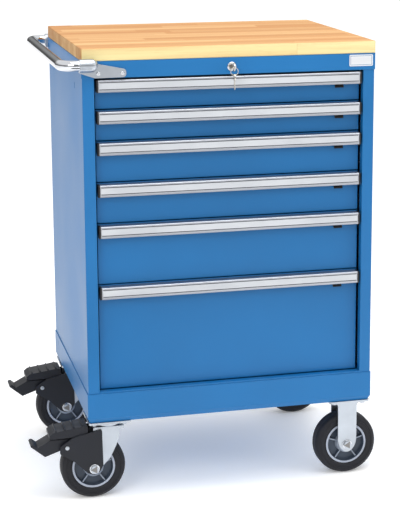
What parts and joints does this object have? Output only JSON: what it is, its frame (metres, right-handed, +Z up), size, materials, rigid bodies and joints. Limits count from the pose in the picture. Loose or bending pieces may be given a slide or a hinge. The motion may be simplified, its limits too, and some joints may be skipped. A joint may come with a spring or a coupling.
{
  "type": "mobile drawer cabinet",
  "caption": "Blue steel tool cabinet on casters with a butcher-block worktop, full-width drawers of graded heights, a central lock and a side push handle.",
  "frame": {"origin": "on the floor, under the middle of the overall box (pedals, push handle and pulls included)", "axes": "+Z up, the drawers open towards -Y, +X to the right of a person facing the drawers"},
  "size_m": [0.8852, 0.6413, 1.115],
  "materials": {
    "blue_paint": "semi-gloss powder coat, mid blue",
    "drawer_zinc": "powder coat inside the drawers, mid blue",
    "butcher_block": "laminated hardwood strips, clear lacquer",
    "handle_aluminium": "satin anodised extrusion with black end caps",
    "black_plastic": "moulded black plastic",
    "zinc_plate": "bright zinc plating",
    "chrome": "polished chrome plate",
    "slide_steel": "galvanised sheet steel",
    "black_brake": "black coated steel",
    "tyre_rubber": "black solid rubber",
    "core_grey": "grey moulded wheel core",
    "brass_key": "nickel-plated brass",
    "badge_silver": "blank satin name plate"
  },
  "bodies": {
    "root": {"worktop": "butcher_block", "top_cover": "blue_paint", "left_side_panel": "blue_paint", "right_side_panel": "blue_paint", "back_panel": "blue_paint", "bottom_panel": "blue_paint", "slide_uprights": "slide_steel", "cabinet_rails": "slide_steel", "mobile_base": "blue_paint", "lock_cylinder": "chrome", "badge_plate": "badge_silver", "push_handle_brackets": "zinc_plate", "push_handle_tube": "chrome", "bracket_screws": "chrome", "swivel_plates": "zinc_plate", "rigid_forks": "zinc_plate", "caster_bolts": "zinc_plate"},
    "drawer_1": {"drawer_1_tray": "drawer_zinc", "drawer_1_handle": "handle_aluminium"},
    "drawer_1_catch": {"drawer_1_latch": "black_plastic"},
    "drawer_1_slides": {"drawer_1_carriages": "slide_steel"},
    "drawer_2": {"drawer_2_tray": "drawer_zinc", "drawer_2_handle": "handle_aluminium"},
    "drawer_2_catch": {"drawer_2_latch": "black_plastic"},
    "drawer_2_slides": {"drawer_2_carriages": "slide_steel"},
    "drawer_3": {"drawer_3_tray": "drawer_zinc", "drawer_3_handle": "handle_aluminium"},
    "drawer_3_catch": {"drawer_3_latch": "black_plastic"},
    "drawer_3_slides": {"drawer_3_carriages": "slide_steel"},
    "drawer_4": {"drawer_4_tray": "drawer_zinc", "drawer_4_handle": "handle_aluminium"},
    "drawer_4_catch": {"drawer_4_latch": "black_plastic"},
    "drawer_4_slides": {"drawer_4_carriages": "slide_steel"},
    "drawer_5": {"drawer_5_tray": "drawer_zinc", "drawer_5_handle": "handle_aluminium"},
    "drawer_5_catch": {"drawer_5_latch": "black_plastic"},
    "drawer_5_slides": {"drawer_5_carriages": "slide_steel"},
    "drawer_6": {"drawer_6_tray": "drawer_zinc", "drawer_6_handle": "handle_aluminium"},
    "drawer_6_catch": {"drawer_6_latch": "black_plastic"},
    "drawer_6_slides": {"drawer_6_carriages": "slide_steel"},
    "lock_core": {"lock_plug": "chrome", "key": "brass_key"},
    "hanging_key": {"spare_key": "brass_key"},
    "locking_bolt": {"lock_bar": "slide_steel"},
    "wheel_front_left": {"tyre_front_left": "tyre_rubber", "wheel_core_front_left": "core_grey"},
    "caster_front_left": {"swivel_fork_front_left": "zinc_plate", "brake_housing_front_left": "black_brake"},
    "pedal_front_left": {"brake_pedal_front_left": "black_brake"},
    "wheel_rear_left": {"tyre_rear_left": "tyre_rubber", "wheel_core_rear_left": "core_grey"},
    "caster_rear_left": {"swivel_fork_rear_left": "zinc_plate", "brake_housing_rear_left": "black_brake"},
    "pedal_rear_left": {"brake_pedal_rear_left": "black_brake"},
    "wheel_front_right": {"tyre_front_right": "tyre_rubber", "wheel_core_front_right": "core_grey"},
    "wheel_rear_right": {"tyre_rear_right": "tyre_rubber", "wheel_core_rear_right": "core_grey"}
  },
  "joints": [
    {"name": "drawer_1_slide", "type": "slide", "parent": "root", "child": "drawer_1", "axis": [0, -1, 0], "range_m": [0, 0.49], "deforming": ["spare_key"]},
    {"name": "drawer_1_carriage_slide", "type": "slide", "parent": "root", "child": "drawer_1_slides", "axis": [0, -1, 0], "range_m": [0, 0.245]},
    {"name": "drawer_1_latch_press", "type": "hinge", "parent": "drawer_1", "child": "drawer_1_catch", "pos_m": [0.32806, -0.27065, 1.0298], "axis": [1, 0, 0], "range_deg": [-12, 0], "stiffness_Nm_per_rad": 0.05, "springref_deg": 17.19},
    {"name": "drawer_2_slide", "type": "slide", "parent": "root", "child": "drawer_2", "axis": [0, -1, 0], "range_m": [0, 0.49]},
    {"name": "drawer_2_carriage_slide", "type": "slide", "parent": "root", "child": "drawer_2_slides", "axis": [0, -1, 0], "range_m": [0, 0.245]},
    {"name": "drawer_2_latch_press", "type": "hinge", "parent": "drawer_2", "child": "drawer_2_catch", "pos_m": [0.32806, -0.27065, 0.9548], "axis": [1, 0, 0], "range_deg": [-12, 0], "stiffness_Nm_per_rad": 0.05, "springref_deg": 17.19},
    {"name": "drawer_3_slide", "type": "slide", "parent": "root", "child": "drawer_3", "axis": [0, -1, 0], "range_m": [0, 0.49]},
    {"name": "drawer_3_carriage_slide", "type": "slide", "parent": "root", "child": "drawer_3_slides", "axis": [0, -1, 0], "range_m": [0, 0.245]},
    {"name": "drawer_3_latch_press", "type": "hinge", "parent": "drawer_3", "child": "drawer_3_catch", "pos_m": [0.32806, -0.27065, 0.8798], "axis": [1, 0, 0], "range_deg": [-12, 0], "stiffness_Nm_per_rad": 0.05, "springref_deg": 17.19},
    {"name": "drawer_4_slide", "type": "slide", "parent": "root", "child": "drawer_4", "axis": [0, -1, 0], "range_m": [0, 0.49]},
    {"name": "drawer_4_carriage_slide", "type": "slide", "parent": "root", "child": "drawer_4_slides", "axis": [0, -1, 0], "range_m": [0, 0.245]},
    {"name": "drawer_4_latch_press", "type": "hinge", "parent": "drawer_4", "child": "drawer_4_catch", "pos_m": [0.32806, -0.27065, 0.7798], "axis": [1, 0, 0], "range_deg": [-12, 0], "stiffness_Nm_per_rad": 0.05, "springref_deg": 17.19},
    {"name": "drawer_5_slide", "type": "slide", "parent": "root", "child": "drawer_5", "axis": [0, -1, 0], "range_m": [0, 0.49]},
    {"name": "drawer_5_carriage_slide", "type": "slide", "parent": "root", "child": "drawer_5_slides", "axis": [0, -1, 0], "range_m": [0, 0.245]},
    {"name": "drawer_5_latch_press", "type": "hinge", "parent": "drawer_5", "child": "drawer_5_catch", "pos_m": [0.32806, -0.27065, 0.6798], "axis": [1, 0, 0], "range_deg": [-12, 0], "stiffness_Nm_per_rad": 0.05, "springref_deg": 17.19},
    {"name": "drawer_6_slide", "type": "slide", "parent": "root", "child": "drawer_6", "axis": [0, -1, 0], "range_m": [0, 0.49]},
    {"name": "drawer_6_carriage_slide", "type": "slide", "parent": "root", "child": "drawer_6_slides", "axis": [0, -1, 0], "range_m": [0, 0.245]},
    {"name": "drawer_6_latch_press", "type": "hinge", "parent": "drawer_6", "child": "drawer_6_catch", "pos_m": [0.32806, -0.27065, 0.5298], "axis": [1, 0, 0], "range_deg": [-12, 0], "stiffness_Nm_per_rad": 0.05, "springref_deg": 17.19},
    {"name": "lock_turn", "type": "hinge", "parent": "root", "child": "lock_core", "pos_m": [0.05581, -0.28565, 1.063], "axis": [0, 1, 0], "range_deg": [-90, 0]},
    {"name": "lock_bar_slide", "type": "slide", "parent": "root", "child": "locking_bolt", "axis": [1, 0, 0], "range_m": [0, 0.0099]},
    {"name": "spare_key_swing", "type": "hinge", "parent": "lock_core", "child": "hanging_key", "pos_m": [0.05581, -0.31165, 1.063], "axis": [1, 0, 0], "range_deg": [-75, 10]},
    {"name": "caster_front_left_swivel", "type": "hinge", "parent": "root", "child": "caster_front_left", "pos_m": [-0.25094, -0.23395, 0.185], "axis": [0, 0, 1], "continuous": true},
    {"name": "brake_pedal_front_left_press", "type": "hinge", "parent": "caster_front_left", "child": "pedal_front_left", "pos_m": [-0.35494, -0.23395, 0.14], "axis": [0, 1, 0], "range_deg": [-12, 0]},
    {"name": "wheel_front_left_spin", "type": "hinge", "parent": "caster_front_left", "child": "wheel_front_left", "pos_m": [-0.28893, -0.23395, 0.08], "axis": [0, 1, 0], "continuous": true},
    {"name": "caster_rear_left_swivel", "type": "hinge", "parent": "root", "child": "caster_rear_left", "pos_m": [-0.25094, 0.23755, 0.185], "axis": [0, 0, 1], "continuous": true},
    {"name": "brake_pedal_rear_left_press", "type": "hinge", "parent": "caster_rear_left", "child": "pedal_rear_left", "pos_m": [-0.35494, 0.23755, 0.14], "axis": [0, 1, 0], "range_deg": [-12, 0]},
    {"name": "wheel_rear_left_spin", "type": "hinge", "parent": "caster_rear_left", "child": "wheel_rear_left", "pos_m": [-0.28893, 0.23755, 0.08], "axis": [0, 1, 0], "continuous": true},
    {"name": "wheel_front_right_spin", "type": "hinge", "parent": "root", "child": "wheel_front_right", "pos_m": [0.36257, -0.23395, 0.08], "axis": [0, 1, 0], "continuous": true},
    {"name": "wheel_rear_right_spin", "type": "hinge", "parent": "root", "child": "wheel_rear_right", "pos_m": [0.36257, 0.23755, 0.08], "axis": [0, 1, 0], "continuous": true}
  ],
  "couplings": [
    {"joint": "drawer_1_carriage_slide", "follows": "drawer_1_slide", "ratio": 0.5},
    {"joint": "drawer_2_carriage_slide", "follows": "drawer_2_slide", "ratio": 0.5},
    {"joint": "drawer_3_carriage_slide", "follows": "drawer_3_slide", "ratio": 0.5},
    {"joint": "drawer_4_carriage_slide", "follows": "drawer_4_slide", "ratio": 0.5},
    {"joint": "drawer_5_carriage_slide", "follows": "drawer_5_slide", "ratio": 0.5},
    {"joint": "drawer_6_carriage_slide", "follows": "drawer_6_slide", "ratio": 0.5},
    {"joint": "lock_turn", "follows": "lock_bar_slide", "rad_per_m": -158.6}
  ]
}
